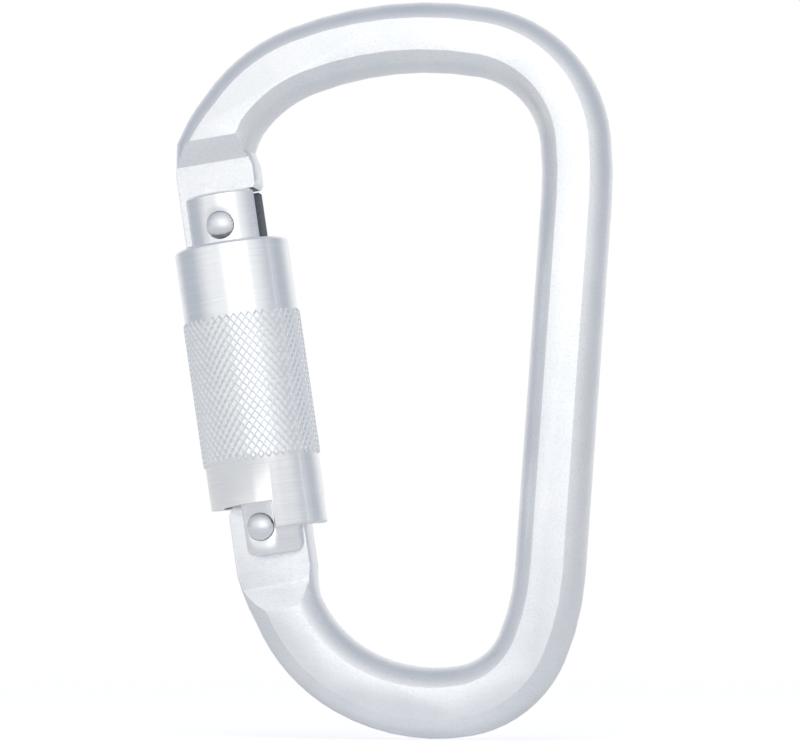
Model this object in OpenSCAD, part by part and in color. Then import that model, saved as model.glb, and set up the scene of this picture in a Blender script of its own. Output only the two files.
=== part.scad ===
// Auto-locking steel carabiner: a forged bar body, a sprung gate on a rivet,
// and a knurled twist sleeve over the gate.  The body lies in the XZ plane,
// its thickness along Y; the origin is under the crown, where the load hangs.

/* [Body] */
// Overall height, from the top of the crown to the bottom of the base
body_h = 114.7; // [104:0.5:140]
// Overall width, from the nose's outer side to the outside of the spine
body_w = 69; // [62:0.2:84]
// Diameter of the bar stock
bar_d = 11; // [9.6:0.1:12]
// Depth that the bar's front and back are each pressed flat
bar_press = 0.6; // [0.2:0.05:0.9]
// Lean of the spine away from upright
spine_lean = 4.2; // [2:0.1:6]
// Bend radius at the top outer corner, to the bar's centre
top_corner_r = 17.6; // [14:0.1:21]
// Bend radius at the bottom outer corner, to the bar's centre
base_corner_r = 14; // [11:0.1:17]
// Bend radius over the gate, from the crown down to the nose
shoulder_r = 22.9; // [20:0.1:27]

/* [Body ends] */
// Thickness of the flattened ends that enter the gate's slots
tongue_t = 6.5; // [5.4:0.1:7]
// Width of the nose across its flattened end
nose_w = 13.1; // [12.4:0.1:14]
// Offset of the nose's middle from the gate's axis, outwards
nose_out = 0.25; // [0:0.05:0.5]
// Distance along the gate from the bar's end to the latch rivet
nose_l = 12.7; // [12:0.1:15]
// Height of the hinge rivet above the bottom of the base
hinge_rise = 32.7; // [28:0.1:38]
// Width of the hinge tongue
tongue_w = 12.4; // [11.4:0.1:12.6]
// Slope of the run-outs from the flattened ends to the full bar
runout_slope = 24; // [20:1:35]

/* [Gate] */
// Lean of the gate away from upright
gate_lean = 8.5; // [6:0.1:11]
// Diameter of the gate barrel
gate_d = 12.8; // [12.2:0.1:13.4]
// Total side play of a tongue in its slot
slot_play = 0.3; // [0.2:0.05:0.5]
// Reach of the gate above the latch rivet
gate_above = 5.3; // [4.6:0.1:6]
// Reach of the gate below the hinge rivet
gate_below = 4.4; // [3.6:0.1:5]
// Reach of the gate's lower ears from its axis, on the inner side
low_ear_in = 5.4; // [4.8:0.1:5.8]
// Reach of the gate's lower ears from its axis, on the outer side
low_ear_out = 3.2; // [3:0.1:4.4]
// Diameter of the bore for the gate spring
spring_bore_d = 4.6; // [4.2:0.1:5.2]
// Depth of the bore for the gate spring
spring_bore_l = 24; // [20:0.5:28]

/* [Rivets] */
// Shank diameter of the latch rivet
latch_d = 2.6; // [2.4:0.1:2.8]
// Shank diameter of the hinge rivet
hinge_d = 3.2; // [2.8:0.1:3.4]
// Diameter of the rivet heads
rivet_head_d = 4.2; // [4:0.1:4.6]
// Height of a rivet head above the gate barrel
rivet_head_h = 1; // [0.8:0.1:1.2]
// Offset of the hinge rivet from the gate's axis, outwards
hinge_offset = 0.5; // [0.3:0.1:0.8]

/* [Locking sleeve] */
// Wall of the sleeve's plain ends round its spring chamber
sleeve_wall = 1.05; // [0.8:0.05:1.5]
// Height of the knurl above the plain ends
knurl_proud = 0.3; // [0.2:0.05:0.5]
// Distance from the latch rivet down to the sleeve's top edge
sleeve_drop = 2.8; // [2.7:0.1:3.4]
// Distance from the hinge rivet down to the sleeve's long skirt
skirt_drop = 0.6; // [0.3:0.1:1]
// Length of the sleeve's upper plain ring
top_ring_l = 11.3; // [9:0.1:13]
// Length of the sleeve's lower plain ring, with its long skirt
low_ring_l = 10.9; // [9:0.1:13]
// Depth of the skirt's notch, whose ends stop on the hinge rivet's heads
notch_h = 4.4; // [3.6:0.1:4.8]
// Turn of the sleeve from locked to unlocked, in degrees
sleeve_turn = 75; // [65:1:78]
// Width of the release slot across the sleeve's top edge
release_w = 7.6; // [7.2:0.1:8]

/* [Springs and fits] */
// Radial running clearance between sleeve and gate, and at the hinge
running_fit = 0.05; // [0.03:0.01:0.09]
// Radial clearance of a rivet shank in the gate
rivet_fit = 0.02; // [0.01:0.01:0.04]
// Wire diameter of the sleeve's return spring
sleeve_wire = 0.9; // [0.7:0.1:1]
// Number of coils in the sleeve's return spring
sleeve_coils = 8; // [5:1:9]
// Wire diameter of the gate spring
gate_wire = 0.6; // [0.5:0.05:0.7]
// Number of coils in the gate spring
gate_coils = 11; // [8:1:12]

/* [Hidden] */
$fn = 96;
function unit(a) = [cos(a), sin(a)];
// Step along an arc of radius r from heading a, turning through t, anticlockwise when t > 0
function arc_step(r, a, t) = r * sign(t) * [sin(a + t) - sin(a), cos(a) - cos(a + t)];

// The crown's headings, seen from its highest point
crown_right = 11;
crown_left = 20;
// The end of the shoulder, where the bar meets the gate's axis
shoulder_turn = 50;
// Turns of the short blends between the corners and the spine
top_blend_turn = 10;
base_blend_turn = 19;
base_corner_turn = 57;
base_turn = 39;
blend_top_r = 3 * top_corner_r;
blend_base_r = 2.6 * base_corner_r;
r_bar = bar_d / 2;
bar_t = bar_d - 2 * bar_press;

// Crown radius that gives the overall width: all other spans are known
spine_heading = -90 - spine_lean;
top_corner_turn = -spine_heading - crown_right - top_blend_turn;
blend_start = -crown_right - top_corner_turn;
right_reach = (arc_step(top_corner_r, -crown_right, -top_corner_turn)
    + arc_step(blend_top_r, blend_start, -90 - blend_start))[0] + r_bar;
shoulder_step = arc_step(shoulder_r, 180 + crown_left, shoulder_turn);
nose_reach = (nose_w / 2 + nose_out) * cos(gate_lean) - shoulder_step[0]
    - 3 * sin(gate_lean);
crown_r = (body_w - right_reach - nose_reach) / (sin(crown_right) + sin(crown_left));

// Way points of the bar's centre line, clockwise from the crown's top
crown_top = [0, r_bar];
p_corner = crown_top + arc_step(crown_r, 0, -crown_right);
p_blend = p_corner + arc_step(top_corner_r, -crown_right, -top_corner_turn);
p_spine = p_blend + arc_step(blend_top_r, blend_start, -top_blend_turn);
base_fall = -(arc_step(blend_base_r, spine_heading, -base_blend_turn)
    + arc_step(base_corner_r, spine_heading - base_blend_turn,
        -180 - spine_heading + base_blend_turn))[1];
spine_l = (body_h - bar_d + p_spine[1] - crown_top[1] - base_fall) / cos(spine_lean);
p_base_blend = p_spine + spine_l * unit(spine_heading);
p_base_corner = p_base_blend + arc_step(blend_base_r, spine_heading, -base_blend_turn);
corner_heading = spine_heading - base_blend_turn;
p_base = p_base_corner + arc_step(base_corner_r, corner_heading, -base_corner_turn);
base_heading = corner_heading - base_corner_turn;

// The other way round: crown, shoulder, then along the gate to both rivets
p_shoulder = crown_top + arc_step(crown_r, 180, crown_left);
p_nose = p_shoulder + shoulder_step;
gate_up = [-sin(gate_lean), cos(gate_lean)];
p_latch = p_nose - nose_l * gate_up;
gate_l = (p_latch[1] - (bar_d - body_h + hinge_rise)) / gate_up[1];
p_hinge = p_latch - gate_l * gate_up;

// Base and hinge bends that close the loop between the corner and the tongue
tongue_straight = 7;
p_tongue = p_hinge - tongue_straight * gate_up;
hinge_heading = base_heading - base_turn;
hinge_turn = hinge_heading + 270 - gate_lean;
bend_a = arc_step(1, base_heading, -base_turn);
bend_b = arc_step(1, hinge_heading, -hinge_turn);
gap = p_tongue - p_base;
det = bend_a[0] * bend_b[1] - bend_a[1] * bend_b[0];
base_r = (gap[0] * bend_b[1] - gap[1] * bend_b[0]) / det;
hinge_r = (bend_a[0] * gap[1] - bend_a[1] * gap[0]) / det;
p_hinge_bend = p_base + arc_step(base_r, base_heading, -base_turn);

// Places a child on the gate: z up its axis from the hinge rivet's level, x inwards
module on_gate() {
    translate([p_hinge[0], 0, p_hinge[1]]) rotate([0, -gate_lean, 0]) children();
}

// Levels and radii along the gate, from the hinge rivet's level
gate_r = gate_d / 2;
slot_w = tongue_t + slot_play;
latch_slot_floor = gate_l - 6.5;
tongue_top = 5.2;
tongue_round_r = 5.9;
hinge_slot_floor = tongue_top + 2;
head_seat_y = gate_r - 0.8;
flat_top = gate_l + gate_above + 0.15;
nose_runout = gate_l + 10.3;
hinge_runout = -9.2;

// Levels and radii of the sleeve
sleeve_top = gate_l - sleeve_drop;
sleeve_base = -skirt_drop;
knurl_top = sleeve_top - top_ring_l;
knurl_base = sleeve_base + low_ring_l;
guide_r = gate_r + running_fit;
skirt_bore_r = guide_r + 0.55;
land_base = 5.5;
chamber_base = 9;
chamber_r = gate_r + sleeve_wire + 0.6;
sleeve_r = chamber_r + sleeve_wall;
knurl_r = sleeve_r + knurl_proud;
release_depth = 2.8;
sleeve_edge = 0.4;
bush_top = sleeve_top - release_depth - 0.2;
bush_l = 3;
spring_leg_z = chamber_base + sleeve_wire / 2 + 0.3;
spring_top_z = bush_top - bush_l - sleeve_wire / 2 - 0.3;
spring_top_angle = 150;

// Angles of the sleeve's notch and slot, anticlockwise from the inner side seen from above
head_half_angle = asin((rivet_head_d / 2 + 0.3) / (gate_r + 0.8));
head_lead_angle = atan(hinge_offset / (gate_r + 0.5));
release_angle = 180 - sleeve_turn;

// Solid skinned over rings of points, each ring with as many points as the next
module skin(rings) {
    n = len(rings[0]);
    last = len(rings) - 1;
    walls = [for (i = [0:last - 1], k = [0:n - 1])
        let (a = i * n + k, b = i * n + (k + 1) % n)
        for (face = [[a, b + n, b], [a, a + n, b + n]]) face];
    caps = [[for (k = [0:n - 1]) k], [for (k = [n - 1:-1:0]) last * n + k]];
    polyhedron([for (ring = rings) each ring], concat(walls, caps));
}

// Stations along the bar: point, heading, width across the bend plane, squareness
function bend(p, a, r, t, n) =
    [for (i = [1:n]) [p + arc_step(r, a, -t * i / n), a - t * i / n, bar_d, 0]];
function gate_point(z, x=0) = p_hinge + z * gate_up + x * [gate_up[1], -gate_up[0]];
function swell(list, w, from, to) =
    [for (i = [0:len(list) - 1])
        let (f = from + (to - from) * (i + 1) / len(list))
        [list[i][0], list[i][1], bar_d + (w - bar_d) * f, f]];

// Steps of a ring over a quarter's round side and over a pressed flat
ring_side = 6;
ring_flat = 3;
// Angle of point k of a half ring whose flat starts at angle press
function ring_angle(k, press) =
    k <= ring_side ? press * k / ring_side
    : k <= ring_side + ring_flat ? press + (180 - 2 * press) * (k - ring_side) / ring_flat
    : 180 - press * (2 * ring_side + ring_flat - k) / ring_side;

// Ring of points round a station: a circle that swells and squares off, pressed front and back
function station_ring(s) =
    let (power = 1 - 0.35 * s[3], across = unit(s[1] + 90),
         press = asin(pow(bar_t / bar_d, 1 / power)))
    [for (half = [0, 180], k = [0:ring_side * 2 + ring_flat - 1])
        let (a = half + ring_angle(k, press), c = cos(a), d = sin(a),
             x = s[2] / 2 * sign(c) * pow(abs(c), power),
             y = -sign(d) * min(bar_t / 2, r_bar * pow(abs(d), power)))
        [s[0][0] + x * across[0], y, s[0][1] + x * across[1]]];

// The whole bent bar, from the nose round the crown, spine and base to the hinge
module bent_bar() {
    gate_heading = 90 + gate_lean;
    shoulder_end = crown_left + shoulder_turn;
    nose_blend = 15;
    hinge_blend = 15;
    p_settle = p_nose + arc_step(shoulder_r, shoulder_end, -nose_blend);
    hinge_start = hinge_heading - hinge_turn + hinge_blend;
    p_swell = p_hinge_bend + arc_step(hinge_r, hinge_heading, hinge_blend - hinge_turn);
    stations = concat(
        [[gate_point(gate_l - 5, -nose_out), gate_heading, nose_w, 1],
         [gate_point(gate_l + 9, -nose_out), gate_heading, nose_w, 1],
         [gate_point(gate_l + nose_l, -nose_out / 2), (gate_heading + shoulder_end) / 2,
          bar_d + 0.6 * (nose_w - bar_d), 0.6]],
        swell(bend(p_nose, shoulder_end, shoulder_r, nose_blend, 3), nose_w, 0.5, 0),
        bend(p_settle, shoulder_end - nose_blend, shoulder_r, shoulder_turn - nose_blend, 7),
        bend(p_shoulder, crown_left, crown_r, crown_left + crown_right, 6),
        bend(p_corner, -crown_right, top_corner_r, top_corner_turn, 13),
        bend(p_blend, blend_start, blend_top_r, top_blend_turn, 2),
        [[p_base_blend, spine_heading, bar_d, 0]],
        bend(p_base_blend, spine_heading, blend_base_r, base_blend_turn, 3),
        bend(p_base_corner, corner_heading, base_corner_r, base_corner_turn, 10),
        bend(p_base, base_heading, base_r, base_turn, 7),
        bend(p_hinge_bend, hinge_heading, hinge_r, hinge_turn - hinge_blend, 8),
        swell(bend(p_swell, hinge_start, hinge_r, hinge_blend, 3), tongue_w, 0, 1),
        [[gate_point(tongue_top + 1), gate_heading - 360, tongue_w, 1]]);
    skin([for (s = stations) station_ring(s)]);
}

// What the nose loses below its flats, seen from the front: the mouth that the latch rivet
// enters, the rivet's notch, and all that the sleeve's top edge sweeps
module nose_relief() {
    rivet_gap = 0.1;
    shank_in = latch_d / 2 + rivet_gap;
    lip_end = 1.4;
    sweep_r = norm([sleeve_r - hinge_offset - sleeve_edge, sleeve_top]) + 0.12;
    low = gate_l - 7;
    intersection() {
        translate([-hinge_offset, 0]) circle(sweep_r, $fn=360);
        translate([-nose_w, low]) square([2 * nose_w, 7]);
    }
    translate([0, gate_l]) circle(shank_in);
    difference() {
        polygon([[-shank_in, gate_l], [-shank_in, gate_l + 2.6], [0.8, flat_top],
                 [nose_w, flat_top], [nose_w, low], [-shank_in, low]]);
        translate([-hinge_offset, 0]) circle(gate_l - shank_in, $fn=360);
    }
    translate([lip_end, low]) square([nose_w, 7]);
}

// What the hinge tongue loses round its end: rounded outside, flat on top for the plunger
module tongue_relief() {
    flat_in = 3.2;
    translate([-tongue_w, tongue_top]) square([2 * tongue_w, 5]);
    difference() {
        translate([-hinge_offset - tongue_w, 0]) square([tongue_w, tongue_top + 1]);
        translate([-hinge_offset, 0]) circle(tongue_round_r);
    }
    polygon([[flat_in, tongue_top], [tongue_w, tongue_top + flat_in - tongue_w],
             [tongue_w, tongue_top + 1], [flat_in, tongue_top + 1]]);
}

module plate(t) {
    rotate([90, 0, 0]) linear_extrude(t, center=true) children();
}

// Cuts front and back down to the tongue's thickness beyond level z, on the side of way
module runout_cut(z, way) {
    depth = 4;
    run = depth / tan(runout_slope);
    for (side = [-1, 1])
        rotate([90, 0, 90]) linear_extrude(40, center=true)
            polygon([[side * tongue_t / 2, z - way * 30], [side * tongue_t / 2, z],
                     [side * (tongue_t / 2 + depth), z + way * run],
                     [side * (tongue_t / 2 + depth), z - way * 30]]);
}

// Rounds the nose's inner lower corner
module nose_corner_cut() {
    r = 3.4;
    rise = 2.3;
    inner = nose_w / 2 - nose_out;
    plate(20) difference() {
        translate([inner - r, flat_top - 1]) square([r + 1, rise + 1]);
        translate([inner - r, flat_top + rise]) circle(r);
    }
}

module body() {
    color("#d9dde2") difference() {
        bent_bar();
        on_gate() {
            runout_cut(nose_runout, 1);
            runout_cut(hinge_runout, -1);
            nose_corner_cut();
            plate(20) nose_relief();
            plate(20) tongue_relief();
            translate([-hinge_offset, 0, 0]) rotate([90, 0, 0])
                cylinder(r=hinge_d / 2 + running_fit, h=bar_d, center=true);
        }
    }
}

// Narrows the lower ears on both sides, up to inside the skirt, and rounds their corners
module low_ear_trim() {
    r = 1.4;
    top = land_base - 0.5;
    for (side = [-1, 1])
        let (edge_x = side > 0 ? low_ear_in : low_ear_out)
        plate(2 * gate_d) {
            translate([side > 0 ? edge_x : -edge_x - gate_d, -gate_below - 1])
                square([gate_d, top + gate_below + 1]);
            difference() {
                translate([side > 0 ? edge_x - r : -edge_x - 1, -gate_below - 1])
                    square([r + 1, r + 1]);
                translate([side * (edge_x - r), r - gate_below]) circle(r);
            }
        }
}

// Through hole for a rivet with a seat for each head
module rivet_hole(d) {
    rotate([90, 0, 0]) cylinder(r=d / 2 + rivet_fit, h=gate_d + 2, center=true);
    for (side = [-1, 1])
        rotate([side * 90, 0, 0]) translate([0, 0, head_seat_y])
            cylinder(r=rivet_head_d / 2 + 0.1, h=gate_r);
}

module gate_barrel() {
    edge = 0.4;
    color("#d3d7dd") on_gate() difference() {
        union() {
            translate([0, 0, -gate_below]) cylinder(r=gate_r, h=gate_l + gate_above + gate_below - edge);
            translate([0, 0, gate_l + gate_above - edge])
                cylinder(r1=gate_r, r2=gate_r - edge, h=edge);
        }
        translate([-gate_d, -slot_w / 2, latch_slot_floor])
            cube([2 * gate_d, slot_w, 2 * gate_above + 10]);
        translate([-gate_d, -slot_w / 2, -gate_below - 1])
            cube([2 * gate_d, slot_w, hinge_slot_floor + gate_below + 1]);
        translate([0, 0, hinge_slot_floor - 1]) cylinder(d=spring_bore_d, h=spring_bore_l + 1);
        translate([0, 0, gate_l]) rivet_hole(latch_d);
        translate([-hinge_offset, 0, 0]) rivet_hole(hinge_d);
        low_ear_trim();
        translate([0, 0, spring_leg_z]) rotate([0, 90, 0])
            cylinder(d=sleeve_wire + 0.2, h=gate_d);
    }
}

// Rivet with a domed head at each end
module rivet(d) {
    head_top = gate_r + rivet_head_h;
    rim = 0.9;
    dome_h = head_top - head_seat_y - rim;
    dome_r = (pow(rivet_head_d / 2, 2) + dome_h * dome_h) / (2 * dome_h);
    rotate([90, 0, 0]) cylinder(d=d, h=2 * head_seat_y, center=true);
    for (side = [-1, 1])
        rotate([side * 90, 0, 0]) intersection() {
            translate([0, 0, head_seat_y]) cylinder(d=rivet_head_d, h=head_top - head_seat_y + 1);
            translate([0, 0, head_top - dome_r]) sphere(dome_r);
        }
}

module hinge_rivet() {
    color("#c3c8cf") on_gate() translate([-hinge_offset, 0, 0]) rivet(hinge_d);
}

module latch_rivet() {
    color("#c3c8cf") on_gate() translate([0, 0, gate_l]) rivet(latch_d);
}

// Flat sector between two angles, wider than the sleeve
module sector(from, to) {
    steps = ceil((to - from) / 30);
    polygon(concat([[0, 0]],
        [for (i = [0:steps]) 2 * sleeve_r * unit(from + (to - from) * i / steps)]));
}

module lock_sleeve() {
    rim = 0.3;
    front = -90 - head_lead_angle;
    back = 90 + head_lead_angle;
    color("#e3e6ea") on_gate() difference() {
        rotate_extrude() polygon([
            [skirt_bore_r + 0.7, sleeve_base], [sleeve_r - rim, sleeve_base],
            [sleeve_r, sleeve_base + rim], [sleeve_r, knurl_base],
            [knurl_r, knurl_base + knurl_proud], [knurl_r, knurl_top - knurl_proud],
            [sleeve_r, knurl_top], [sleeve_r, sleeve_top - sleeve_edge],
            [sleeve_r - sleeve_edge, sleeve_top], [chamber_r, sleeve_top],
            [chamber_r, chamber_base], [guide_r, chamber_base], [guide_r, land_base],
            [skirt_bore_r, land_base], [skirt_bore_r, sleeve_base + 0.7]]);
        translate([0, 0, sleeve_base - 1]) linear_extrude(notch_h + 1)
            sector(back - sleeve_turn - head_half_angle, 360 + front + head_half_angle);
        rotate([0, 0, release_angle]) translate([0, -release_w / 2, sleeve_top - release_depth])
            cube([gate_d, release_w, release_depth + 1]);
        rotate([0, 0, spring_top_angle]) translate([gate_r, 0, spring_top_z])
            rotate([0, 90, 0]) cylinder(d=sleeve_wire + 0.2, h=chamber_r - gate_r + 0.6);
    }
}

module sleeve_bush() {
    color("#b9bec6") on_gate() translate([0, 0, bush_top - bush_l]) difference() {
        cylinder(r=chamber_r - rivet_fit, h=bush_l);
        translate([0, 0, -1]) cylinder(r=guide_r, h=bush_l + 2);
    }
}

// Wire of diameter d swept along points, none of whose steps run straight up
module wire(points, d) {
    sides = 6;
    last = len(points) - 1;
    skin([for (i = [0:last])
        let (step = points[min(i + 1, last)] - points[max(i - 1, 0)],
             side = cross([0, 0, 1], step) / norm(cross([0, 0, 1], step)),
             lift = cross(step, side) / norm(step))
        [for (k = [0:sides - 1])
            points[i] + d / 2 * (cos(k * 360 / sides) * side + sin(k * 360 / sides) * lift)]]);
}

// Coils of radius r from level z0 to z1, starting at angle start
function coil(r, z0, z1, turns, steps, start=0) =
    [for (i = [0:turns * steps])
        let (a = start + i * 360 / steps)
        [r * cos(a), r * sin(a), z0 + (z1 - z0) * i / (turns * steps)]];

module sleeve_spring() {
    coil_r = (gate_r + chamber_r) / 2;
    leg_in = [coil_r - 1.6, 0, spring_leg_z];
    leg_out = (coil_r + 1.1) * unit(spring_top_angle);
    color("#9aa0a8") on_gate() wire(concat([leg_in],
        coil(coil_r, spring_leg_z, spring_top_z, sleeve_coils + spring_top_angle / 360, 18),
        [[leg_out[0], leg_out[1], spring_top_z]]), sleeve_wire);
}

plunger_base = tongue_top + 0.03;
plunger_tip_r = 2;
plunger_top = hinge_slot_floor + 3.4;

module gate_plunger() {
    plunger_r = spring_bore_d / 2 - running_fit;
    color("#b9bec6") on_gate() {
        translate([0, 0, plunger_base + plunger_tip_r]) {
            sphere(plunger_tip_r);
            cylinder(r=plunger_tip_r, h=1);
        }
        translate([0, 0, hinge_slot_floor + 0.2])
            cylinder(r=plunger_r, h=plunger_top - hinge_slot_floor - 0.2);
        translate([0, 0, plunger_top - 1]) cylinder(r=spring_bore_d / 2 - gate_wire - 0.5, h=4);
    }
}

module gate_spring() {
    coil_r = spring_bore_d / 2 - gate_wire / 2 - 0.25;
    rest = gate_wire / 2 + 0.1;
    color("#9aa0a8") on_gate()
        wire(coil(coil_r, plunger_top + rest, hinge_slot_floor + spring_bore_l - rest,
            gate_coils, 12), gate_wire);
}

body();
gate_barrel();
hinge_rivet();
latch_rivet();
lock_sleeve();
sleeve_bush();
sleeve_spring();
gate_spring();
gate_plunger();
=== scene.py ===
# Looks of a locking steel carabiner: forged bar, riveted gate and knurled twist sleeve.
# The numbers are metres in the frame of the CAD part, unless a name ends in _MM.
import math

import bpy
from mathutils import Matrix, Vector


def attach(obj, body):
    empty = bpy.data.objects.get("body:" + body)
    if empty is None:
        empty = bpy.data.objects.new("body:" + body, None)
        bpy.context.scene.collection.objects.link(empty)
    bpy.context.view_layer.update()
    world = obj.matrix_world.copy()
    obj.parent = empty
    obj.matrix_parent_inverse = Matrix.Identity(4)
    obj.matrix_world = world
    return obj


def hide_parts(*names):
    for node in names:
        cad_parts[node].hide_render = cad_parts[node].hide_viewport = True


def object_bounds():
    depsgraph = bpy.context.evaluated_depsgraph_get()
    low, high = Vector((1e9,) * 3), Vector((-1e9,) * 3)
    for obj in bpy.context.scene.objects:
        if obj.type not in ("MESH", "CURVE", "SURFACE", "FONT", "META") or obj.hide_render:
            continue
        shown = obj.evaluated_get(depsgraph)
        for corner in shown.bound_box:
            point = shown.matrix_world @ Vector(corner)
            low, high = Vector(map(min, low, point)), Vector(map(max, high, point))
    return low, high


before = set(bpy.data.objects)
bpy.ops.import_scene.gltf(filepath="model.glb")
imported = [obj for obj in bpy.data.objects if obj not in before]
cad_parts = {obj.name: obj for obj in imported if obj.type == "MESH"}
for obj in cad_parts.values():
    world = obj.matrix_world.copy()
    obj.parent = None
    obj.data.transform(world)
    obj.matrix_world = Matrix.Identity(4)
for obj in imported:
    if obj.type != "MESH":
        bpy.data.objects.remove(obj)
cad_low, cad_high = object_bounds()

MM = 0.001
GATE_LEAN = math.radians(8.5)
HINGE_LEVEL = Vector((-0.0234768, 0, -0.071))
# The gate's own frame: Z up the gate from the hinge rivet, X towards the spine
GATE_FRAME = Matrix.Translation(HINGE_LEVEL) @ Matrix.Rotation(-GATE_LEAN, 4, "Y")

# The sleeve's plain ends and its knurled band, by level above the hinge rivet
SLEEVE_R_MM = 8.95
KNURL_R_MM = 9.25
KNURL_BASE_MM = 10.3
KNURL_TOP_MM = 33.38
KNURL_GROOVE_R_MM = 8.97
DIAMONDS_ROUND = 48
DIAMOND_TALL_MM = 1.5
# Share of each pyramid's slopes that is taken off for its flat top
FLAT_TOP = 0.55
# Clearance of the knurl's flat tops inside the solid's plain band
TOP_GAP_MM = 0.01
# How far the knurl's first and last rows lie under the plain ends
END_SINK_MM = 0.05

# Half the width of the slots milled in the gate, and the reach of its bores; faces inside them get
# painted shade
SLOT_HALF_MM = 3.45
BORE_R_MM = 2.5

FLOOR_RADIUS = 1.2
FLOOR_GAP = 0.0002


# ---------------------------------------------------------------- camera

def aim(thing, place, target):
    """Puts a camera or a lamp at place and points it at target."""
    thing.location = place
    thing.rotation_mode = "QUATERNION"
    thing.rotation_quaternion = (Vector(target) - Vector(place)).to_track_quat("-Z", "Y")


def add_camera():
    """A long lens in front of the gate side, a little below the middle of the part."""
    turn, rise, distance = math.radians(9.5), math.radians(-3.0), 0.6
    target = Vector((-0.0031, 0, -0.04721))
    back = Vector((math.sin(turn) * math.cos(rise), -math.cos(turn) * math.cos(rise),
                   math.sin(rise)))
    data = bpy.data.cameras.new("studio_camera")
    data.sensor_width = 36
    data.lens = 173.07
    data.clip_start = 0.05
    data.clip_end = 10
    camera = bpy.data.objects.new("studio_camera", data)
    bpy.context.scene.collection.objects.link(camera)
    aim(camera, target + distance * back, target)
    bpy.context.scene.camera = camera


# ---------------------------------------------------------------- materials

def hex_colour(text):
    """Linear colour from an sRGB hex value such as 'D9DDE2'."""
    def linear(value):
        return value / 12.92 if value <= 0.04045 else ((value + 0.055) / 1.055) ** 2.4
    return tuple(linear(int(text[i:i + 2], 16) / 255) for i in (0, 2, 4)) + (1.0,)


def add_node(tree, kind, settings=None, values=None, links=None):
    """Adds a node, sets its properties and input values, and links outputs to its inputs."""
    node = tree.nodes.new(kind)
    for name, value in (settings or {}).items():
        setattr(node, name, value)
    for name, value in (values or {}).items():
        node.inputs[name].default_value = value
    for name, source in (links or {}).items():
        tree.links.new(source, node.inputs[name])
    return node


def new_material(name):
    """An empty node tree with an output and the object's own coordinates."""
    material = bpy.data.materials.new(name)
    material.use_nodes = True
    tree = material.node_tree
    tree.nodes.clear()
    output = add_node(tree, "ShaderNodeOutputMaterial")
    place = add_node(tree, "ShaderNodeTexCoord").outputs["Object"]
    return material, tree, output, place


def ramp(tree, source, stops):
    """A colour ramp with (position, hex colour) stops."""
    node = add_node(tree, "ShaderNodeValToRGB", links={"Fac": source})
    points = node.color_ramp.elements
    while len(points) < len(stops):
        points.new(0.5)
    for point, (position, colour) in zip(points, stops):
        point.position = position
        point.color = hex_colour(colour)
    return node.outputs["Color"]


def span(tree, source, low, high, start=0.0, end=1.0):
    """Maps a pattern from start..end to low..high."""
    node = add_node(tree, "ShaderNodeMapRange", links={"Value": source},
                    values={"From Min": start, "From Max": end, "To Min": low, "To Max": high})
    return node.outputs["Result"]


def forged_zinc():
    """Zinc plate on forged steel: near white with a cold tinge, satin where the dies pressed
    it, with a fine grain left by tumbling and faint clouds in the plate."""
    material, tree, output, place = new_material("zinc_plated_forged_steel")
    # Tumbling grain of about 0.35 mm, and clouds of about 9 mm
    grain = add_node(tree, "ShaderNodeTexNoise", links={"Vector": place},
                     values={"Scale": 1 / (0.35 * MM), "Detail": 3.0, "Roughness": 0.6})
    clouds = add_node(tree, "ShaderNodeTexNoise", links={"Vector": place},
                      values={"Scale": 1 / (9 * MM), "Detail": 2.0, "Roughness": 0.5})
    # Shallow forging scale pits of about 1.4 mm under the plate
    pits = add_node(tree, "ShaderNodeTexNoise", links={"Vector": place},
                    values={"Scale": 1 / (1.4 * MM), "Detail": 2.0, "Roughness": 0.5})
    colour = ramp(tree, clouds.outputs["Fac"], [(0.3, "EEF0F3"), (0.7, "F6F7F9")])
    speck = add_node(tree, "ShaderNodeMix", {"data_type": "RGBA", "blend_type": "MULTIPLY"},
                     links={"Factor": span(tree, grain.outputs["Fac"], 0.0, 0.35, 0.5, 0.8)})
    tree.links.new(colour, speck.inputs["A"])
    speck.inputs["B"].default_value = hex_colour("D2D6DE")
    bumps = add_node(tree, "ShaderNodeBump", values={"Strength": 0.5, "Distance": 0.02 * MM},
                     links={"Height": grain.outputs["Fac"]})
    dents = add_node(tree, "ShaderNodeBump", values={"Strength": 0.25, "Distance": 0.06 * MM},
                     links={"Height": pits.outputs["Fac"], "Normal": bumps.outputs["Normal"]})
    shader = add_node(tree, "ShaderNodeBsdfPrincipled", values={"Metallic": 1.0},
                      links={"Base Color": speck.outputs["Result"],
                             "Roughness": span(tree, grain.outputs["Fac"], 0.28, 0.42, 0.3, 0.7),
                             "Normal": dents.outputs["Normal"]})
    tree.links.new(shader.outputs["BSDF"], output.inputs["Surface"])
    return material


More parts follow.
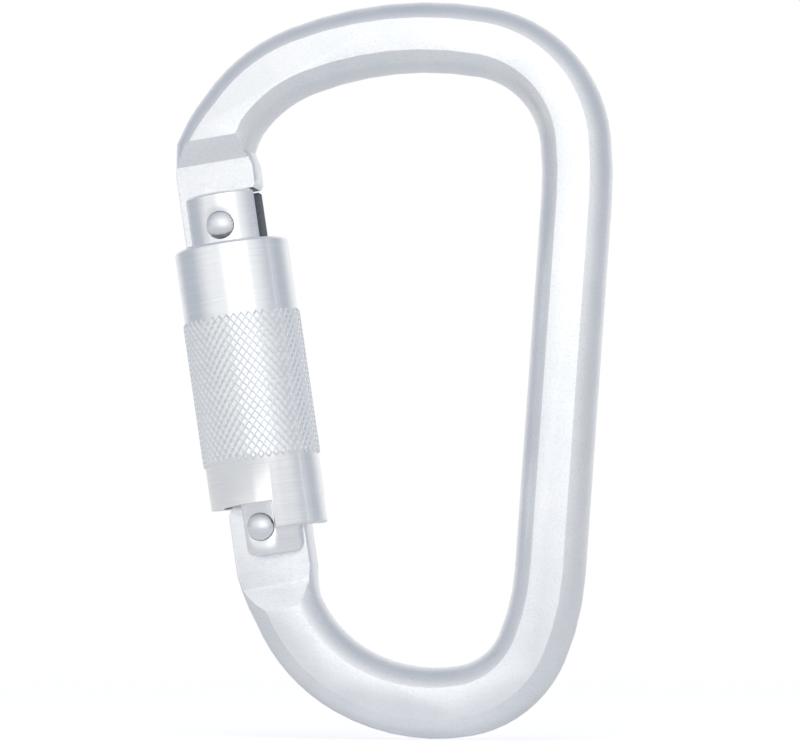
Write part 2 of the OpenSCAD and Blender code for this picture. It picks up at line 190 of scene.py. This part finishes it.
def turned_zinc(name, pale, dark, rough_low, rough_high, pitch_mm, depth_mm):
    """Zinc plate on a part turned in a lathe: bright, with fine rings round the gate's axis
    that stretch each highlight along it."""
    material, tree, output, place = new_material(name)
    turned = add_node(tree, "ShaderNodeMapping", {"vector_type": "TEXTURE"},
                      links={"Vector": place},
                      values={"Location": HINGE_LEVEL, "Rotation": (0, -GATE_LEAN, 0)})
    # Tool marks lie round the axis: a noise that changes along it only
    flat = add_node(tree, "ShaderNodeMapping", {"vector_type": "POINT"},
                    links={"Vector": turned.outputs["Vector"]}, values={"Scale": (0.03, 0.03, 1.0)})
    marks = add_node(tree, "ShaderNodeTexNoise", links={"Vector": flat.outputs["Vector"]},
                     values={"Scale": 1 / (pitch_mm * MM), "Detail": 3.0, "Roughness": 0.65})
    # Handling scuffs of about 3 mm
    scuffs = add_node(tree, "ShaderNodeTexNoise", links={"Vector": place},
                      values={"Scale": 1 / (3 * MM), "Detail": 3.0, "Roughness": 0.6})
    colour = ramp(tree, marks.outputs["Fac"], [(0.3, dark), (0.65, pale)])
    rings = add_node(tree, "ShaderNodeBump", values={"Strength": 0.3, "Distance": depth_mm * MM},
                     links={"Height": marks.outputs["Fac"]})
    shader = add_node(tree, "ShaderNodeBsdfPrincipled", values={"Metallic": 1.0},
                      links={"Base Color": colour,
                             "Roughness": span(tree, scuffs.outputs["Fac"], rough_low, rough_high,
                                               0.3, 0.7),
                             "Normal": rings.outputs["Normal"]})
    tree.links.new(shader.outputs["BSDF"], output.inputs["Surface"])
    return material


def drawn_wire():
    """Drawn spring steel, oiled: dark grey and shiny, with streaks of about 0.2 mm."""
    material, tree, output, place = new_material("drawn_spring_steel")
    streaks = add_node(tree, "ShaderNodeTexNoise", links={"Vector": place},
                       values={"Scale": 1 / (0.2 * MM), "Detail": 2.0, "Roughness": 0.5})
    shader = add_node(tree, "ShaderNodeBsdfPrincipled", values={"Metallic": 1.0},
                      links={"Base Color": ramp(tree, streaks.outputs["Fac"],
                                                [(0.3, "6E7277"), (0.7, "8C9096")]),
                             "Roughness": span(tree, streaks.outputs["Fac"], 0.22, 0.38, 0.3, 0.7)})
    tree.links.new(shader.outputs["BSDF"], output.inputs["Surface"])
    return material


def painted_slot_shade_steel():
    """Painted shade for the milled slots and bores: a dark, dull steel grey in place of the shade
    that falls inside them.
    """
    material, tree, output, place = new_material("slot_shade_painted_steel")
    # Random mottling of about 0.5 mm across the painted shade
    marks = add_node(tree, "ShaderNodeTexNoise", links={"Vector": place},
                     values={"Scale": 1 / (0.5 * MM), "Detail": 2.0, "Roughness": 0.5})
    shader = add_node(tree, "ShaderNodeBsdfPrincipled", values={"Metallic": 1.0},
                      links={"Base Color": ramp(tree, marks.outputs["Fac"],
                                                [(0.3, "747982"), (0.7, "8E939B")]),
                             "Roughness": span(tree, marks.outputs["Fac"], 0.45, 0.6, 0.3, 0.7)})
    tree.links.new(shader.outputs["BSDF"], output.inputs["Surface"])
    return material


# ---------------------------------------------------------------- pieces

def pick_none():
    bpy.ops.object.select_all(action="DESELECT")


def pick(piece):
    pick_none()
    piece.select_set(True)
    bpy.context.view_layer.objects.active = piece


def apply_all(piece):
    """Applies every modifier in order."""
    pick(piece)
    for modifier in list(piece.modifiers):
        bpy.ops.object.modifier_apply(modifier=modifier.name)


def finish_piece(piece, material, body):
    """Gives a finished mesh its material, and lets it ride on its body."""
    piece.data.materials.clear()
    piece.data.materials.append(material)
    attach(piece, body)


def copy_of(node, name):
    """A merged copy of a CAD node's mesh, ready to be refined."""
    piece = bpy.data.objects.new(name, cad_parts[node].data.copy())
    bpy.context.scene.collection.objects.link(piece)
    pick(piece)
    bpy.ops.object.mode_set(mode="EDIT")
    bpy.ops.mesh.select_all(action="SELECT")
    bpy.ops.mesh.remove_doubles(threshold=0.002 * MM)
    bpy.ops.mesh.select_all(action="SELECT")
    bpy.ops.mesh.dissolve_limited(angle_limit=math.radians(0.3))
    bpy.ops.object.mode_set(mode="OBJECT")
    if piece.data.attributes.get("custom_normal"):
        piece.data.attributes.remove(piece.data.attributes["custom_normal"])
    return piece


def soften(piece, width_mm, edge_angle, smooth_angle):
    """Rounds the edges sharper than edge_angle and smooths the faces between them."""
    if width_mm:
        bevel = piece.modifiers.new("edge", "BEVEL")
        bevel.width = width_mm * MM
        bevel.segments = 2
        bevel.limit_method = "ANGLE"
        bevel.angle_limit = math.radians(edge_angle)
        apply_all(piece)
    pick(piece)
    bpy.ops.object.shade_smooth_by_angle(angle=math.radians(smooth_angle))


def edges_where(piece, test):
    """Selects the edges whose two ends both pass test, for the next edit."""
    pick(piece)
    bpy.ops.object.mode_set(mode="EDIT")
    bpy.ops.mesh.select_mode(type="EDGE")
    bpy.ops.mesh.select_all(action="DESELECT")
    bpy.ops.object.mode_set(mode="OBJECT")
    places = piece.data.vertices
    for edge in piece.data.edges:
        edge.select = all(test(places[i].co) for i in edge.vertices)
    bpy.ops.object.mode_set(mode="EDIT")


def off_axis(place):
    return math.hypot(place.x, place.y)


def paint_slot_shade(piece, material, half_slot_mm, bore_r_mm):
    """Gives a gate piece's inner faces, in its slots and bores, a second material: painted shade.
    """
    piece.data.materials.append(material)
    inverse = GATE_FRAME.inverted()
    for face in piece.data.polygons:
        middle = inverse @ face.center / MM
        normal = inverse.to_3x3() @ face.normal
        in_slot = abs(middle.y) < half_slot_mm and abs(normal.y) > 0.9
        across = abs(middle.y) < half_slot_mm - 0.05 and abs(normal.z) > 0.9
        in_bore = math.hypot(middle.x, middle.y) < bore_r_mm
        if in_slot or across or in_bore:
            face.material_index = 1


def knurled_band():
    """Rows of small flat-topped pyramids between crossed grooves, in the gate's frame."""
    tall_mm = KNURL_TOP_MM - KNURL_BASE_MM
    rows = 2 * round(tall_mm / DIAMOND_TALL_MM)
    columns = 2 * DIAMONDS_ROUND
    tip_r = KNURL_GROOVE_R_MM + (KNURL_R_MM - TOP_GAP_MM
                                 - KNURL_GROOVE_R_MM) / (1 - FLAT_TOP)
    pick_none()
    bpy.ops.mesh.primitive_circle_add(vertices=columns, radius=KNURL_R_MM * MM,
                                      location=(0, 0, KNURL_BASE_MM * MM))
    band = bpy.context.active_object
    bpy.ops.object.transform_apply(location=True, rotation=True, scale=True)
    bpy.ops.object.mode_set(mode="EDIT")
    bpy.ops.mesh.select_mode(type="VERT")
    bpy.ops.mesh.select_all(action="SELECT")
    for row in range(rows):
        bpy.ops.mesh.extrude_region_move(
            TRANSFORM_OT_translate={"value": (0, 0, tall_mm / rows * MM)})
    bpy.ops.mesh.select_all(action="DESELECT")
    bpy.ops.object.mode_set(mode="OBJECT")
    for vertex in band.data.vertices:
        row = round((vertex.co.z / MM - KNURL_BASE_MM) / tall_mm * rows)
        column = round(math.atan2(vertex.co.y, vertex.co.x) / (2 * math.pi) * columns)
        vertex.select = (row + column) % 2 == 1
        radius = KNURL_GROOVE_R_MM if vertex.select else tip_r
        if row in (0, rows):
            radius = SLEEVE_R_MM - END_SINK_MM
        spread = radius * MM / off_axis(vertex.co)
        vertex.co.x *= spread
        vertex.co.y *= spread
    # Each face has two low corners: an edge between them turns the grid into diamonds
    bpy.ops.object.mode_set(mode="EDIT")
    bpy.ops.mesh.vert_connect()
    bpy.ops.mesh.select_all(action="DESELECT")
    bpy.ops.object.mode_set(mode="OBJECT")
    for vertex in band.data.vertices:
        vertex.select = off_axis(vertex.co) > (tip_r - 0.05) * MM
    bpy.ops.object.mode_set(mode="EDIT")
    bpy.ops.mesh.bevel(offset_type="PERCENT", offset_pct=100 * FLAT_TOP, segments=1,
                       affect="VERTICES")
    bpy.ops.object.mode_set(mode="OBJECT")
    return band


def knurled_sleeve():
    """The sleeve, with its plain band cut out and the knurl bridged into the gap."""
    piece = copy_of("lock_sleeve", "knurled_sleeve")
    piece.data.transform(GATE_FRAME.inverted())
    soften(piece, 0.12, 35, 30)
    pick(piece)
    bpy.ops.object.mode_set(mode="EDIT")
    bpy.ops.mesh.select_mode(type="FACE")
    bpy.ops.mesh.select_all(action="DESELECT")
    bpy.ops.object.mode_set(mode="OBJECT")
    places = piece.data.vertices
    for face in piece.data.polygons:
        face.select = any(off_axis(places[i].co) > (SLEEVE_R_MM + 0.02) * MM
                          for i in face.vertices)
    bpy.ops.object.mode_set(mode="EDIT")
    bpy.ops.mesh.delete(type="FACE")
    bpy.ops.object.mode_set(mode="OBJECT")
    band = knurled_band()
    pick_none()
    band.select_set(True)
    piece.select_set(True)
    bpy.context.view_layer.objects.active = piece
    bpy.ops.object.join()
    for level in (KNURL_BASE_MM, KNURL_TOP_MM):
        edges_where(piece, lambda co: abs(co.z - level * MM) < 0.2 * MM
                    and off_axis(co) > (SLEEVE_R_MM - 0.3) * MM)
        bpy.ops.mesh.select_non_manifold(extend=False, use_wire=False, use_boundary=True,
                                         use_multi_face=False, use_non_contiguous=False,
                                         use_verts=False)
        bpy.ops.object.mode_set(mode="OBJECT")
        for edge in piece.data.edges:
            ends = [piece.data.vertices[i].co for i in edge.vertices]
            edge.select = edge.select and all(abs(co.z - level * MM) < 0.5 * MM for co in ends)
        bpy.ops.object.mode_set(mode="EDIT")
        bpy.ops.mesh.bridge_edge_loops()
        bpy.ops.object.mode_set(mode="OBJECT")
    pick(piece)
    bpy.ops.object.mode_set(mode="EDIT")
    bpy.ops.mesh.select_mode(type="VERT")
    bpy.ops.mesh.select_all(action="SELECT")
    bpy.ops.mesh.normals_make_consistent(inside=False)
    bpy.ops.object.mode_set(mode="OBJECT")
    bpy.ops.object.shade_smooth_by_angle(angle=math.radians(14))
    piece.data.transform(GATE_FRAME)
    return piece


add_camera()
zinc_forged = forged_zinc()
zinc_barrel = turned_zinc("zinc_plated_turned_steel", "F5F6F8", "ECEEF1", 0.22, 0.28, 0.25, 0.003)
zinc_sleeve = turned_zinc("zinc_plated_knurled_steel", "F7F8F9", "EEF0F3", 0.2, 0.26, 0.25, 0.003)
rivet_steel = turned_zinc("zinc_plated_rivet_steel", "F3F4F6", "E8EAED", 0.34, 0.42, 0.4, 0.002)
bush_steel = turned_zinc("turned_bare_steel", "C2C6CC", "A9ADB5", 0.25, 0.4, 0.2, 0.01)
spring_steel = drawn_wire()

body = copy_of("body", "forged_body")
soften(body, 0.2, 19, 17)
finish_piece(body, zinc_forged, "frame")
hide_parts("body")

barrel = copy_of("gate_barrel", "turned_gate")
soften(barrel, 0.15, 35, 30)
finish_piece(barrel, zinc_barrel, "gate")
# The gate's slots and bores get a dark material: painted shade where shade falls inside them
paint_slot_shade(barrel, painted_slot_shade_steel(), SLOT_HALF_MM, BORE_R_MM)
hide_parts("gate_barrel")

for node, name in (("latch_rivet", "latch_rivet_domed"), ("hinge_rivet", "hinge_rivet_domed")):
    rivet = copy_of(node, name)
    soften(rivet, 0.08, 35, 30)
    finish_piece(rivet, rivet_steel, "gate")
    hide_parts(node)

sleeve = knurled_sleeve()
finish_piece(sleeve, zinc_sleeve, "sleeve")
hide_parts("lock_sleeve")

for node, name, material, slot, rides in (
        ("sleeve_bush", "turned_bush", bush_steel, "bush_steel", "sleeve"),
        ("sleeve_spring", "coiled_sleeve_spring", spring_steel, "spring_steel", "sleeve"),
        ("gate_spring", "coiled_gate_spring", spring_steel, "spring_steel", "gate"),
        ("gate_plunger", "turned_plunger", bush_steel, "bush_steel", "plunger")):
    inner = copy_of(node, name)
    soften(inner, 0, 35, 40)
    finish_piece(inner, material, rides)
    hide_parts(node)


# ---------------------------------------------------------------- studio

def add_world():
    """A white room: white in front of the part and behind it, and greyer all round between."""
    world = bpy.data.worlds.new("white_studio")
    bpy.context.scene.world = world
    world.use_nodes = True
    tree = world.node_tree
    tree.nodes.clear()
    rays = add_node(tree, "ShaderNodeLightPath")
    way = add_node(tree, "ShaderNodeTexCoord").outputs["Generated"]
    # 1 straight ahead of the part, 0 at its sides, above and below, and -1 behind it
    ahead = add_node(tree, "ShaderNodeVectorMath", {"operation": "DOT_PRODUCT"}, links={0: way},
                     values={1: (math.sin(math.radians(5)), -math.cos(math.radians(5)), 0)})
    leaving = span(tree, ahead.outputs["Value"], 0, 1, math.cos(math.radians(50)),
                   math.cos(math.radians(85)))
    behind = span(tree, ahead.outputs["Value"], 0, 1, math.cos(math.radians(155)),
                  math.cos(math.radians(120)))
    grey = add_node(tree, "ShaderNodeMath", {"operation": "MINIMUM"},
                    links={0: leaving, 1: behind})
    room = ramp(tree, grey.outputs["Value"], [(0.0, "FAFBFC"), (1.0, "BEC3CC")])
    seen = add_node(tree, "ShaderNodeMix", {"data_type": "RGBA"},
                    links={"Factor": rays.outputs["Is Camera Ray"]})
    tree.links.new(room, seen.inputs["A"])
    seen.inputs["B"].default_value = (1, 1, 1, 1)
    lit = add_node(tree, "ShaderNodeMath", {"operation": "MAXIMUM"},
                   links={0: rays.outputs["Is Camera Ray"], 1: rays.outputs["Is Glossy Ray"]})
    back = add_node(tree, "ShaderNodeBackground",
                    links={"Color": seen.outputs["Result"],
                           "Strength": span(tree, lit.outputs["Value"], 0.5, 1.0)})
    add_node(tree, "ShaderNodeOutputWorld", links={"Surface": back.outputs["Background"]})


def add_floor():
    """White paper under the part. It keeps the part's shadow, and runs out to plain white."""
    pick_none()
    bpy.ops.mesh.primitive_circle_add(vertices=64, radius=FLOOR_RADIUS, fill_type="NGON",
                                      location=(0, 0, cad_low.z - FLOOR_GAP))
    floor = bpy.context.active_object
    floor.name = "studio_floor"
    material, tree, output, place = new_material("white_paper")
    rays = add_node(tree, "ShaderNodeLightPath")
    paper = add_node(tree, "ShaderNodeBsdfDiffuse", values={"Color": hex_colour("E6E8EC")})
    # The lit paper falls short of white by as much as this glow adds; metal sees less of it
    glow = add_node(tree, "ShaderNodeEmission",
                    links={"Strength": span(tree, rays.outputs["Is Camera Ray"], 0.25, 0.62)})
    near = add_node(tree, "ShaderNodeAddShader", links={0: paper.outputs["BSDF"],
                                                        1: glow.outputs["Emission"]})
    white = add_node(tree, "ShaderNodeEmission",
                     links={"Strength": span(tree, rays.outputs["Is Camera Ray"], 0.75, 1.0)})
    far = add_node(tree, "ShaderNodeVectorMath", {"operation": "LENGTH"}, links={0: place})
    seen = add_node(tree, "ShaderNodeMixShader",
                    links={0: span(tree, far.outputs["Value"], 0, 1, 0.12, 0.4),
                           1: near.outputs["Shader"], 2: white.outputs["Emission"]})
    watched = add_node(tree, "ShaderNodeMath", {"operation": "MAXIMUM"},
                       links={0: rays.outputs["Is Camera Ray"], 1: rays.outputs["Is Glossy Ray"]})
    mixed = add_node(tree, "ShaderNodeMixShader",
                     links={0: watched.outputs["Value"], 1: paper.outputs["BSDF"],
                            2: seen.outputs["Shader"]})
    tree.links.new(mixed.outputs["Shader"], output.inputs["Surface"])
    floor.data.materials.append(material)


def add_lamp(name, azimuth, elevation, distance, width, height, brightness, mirrored=True):
    """A softbox aimed at the part; brightness is what a mirror would show of it, if mirrored."""
    turn, rise = math.radians(azimuth), math.radians(elevation)
    target = (cad_low + cad_high) / 2
    way = Vector((math.sin(turn) * math.cos(rise), -math.cos(turn) * math.cos(rise),
                  math.sin(rise)))
    data = bpy.data.lights.new(name, "AREA")
    data.shape = "RECTANGLE"
    data.size, data.size_y = width, height
    data.energy = brightness * math.pi * width * height
    lamp = bpy.data.objects.new(name, data)
    lamp.visible_glossy = mirrored
    bpy.context.scene.collection.objects.link(lamp)
    aim(lamp, target + distance * way, target)


add_world()
add_floor()
add_lamp("front_softbox", 12, 10, 0.8, 0.75, 0.7, 0.45)
add_lamp("top_softbox", 0, 70, 0.7, 0.5, 0.4, 1.6, mirrored=False)
bpy.context.scene.view_settings.view_transform = "Standard"
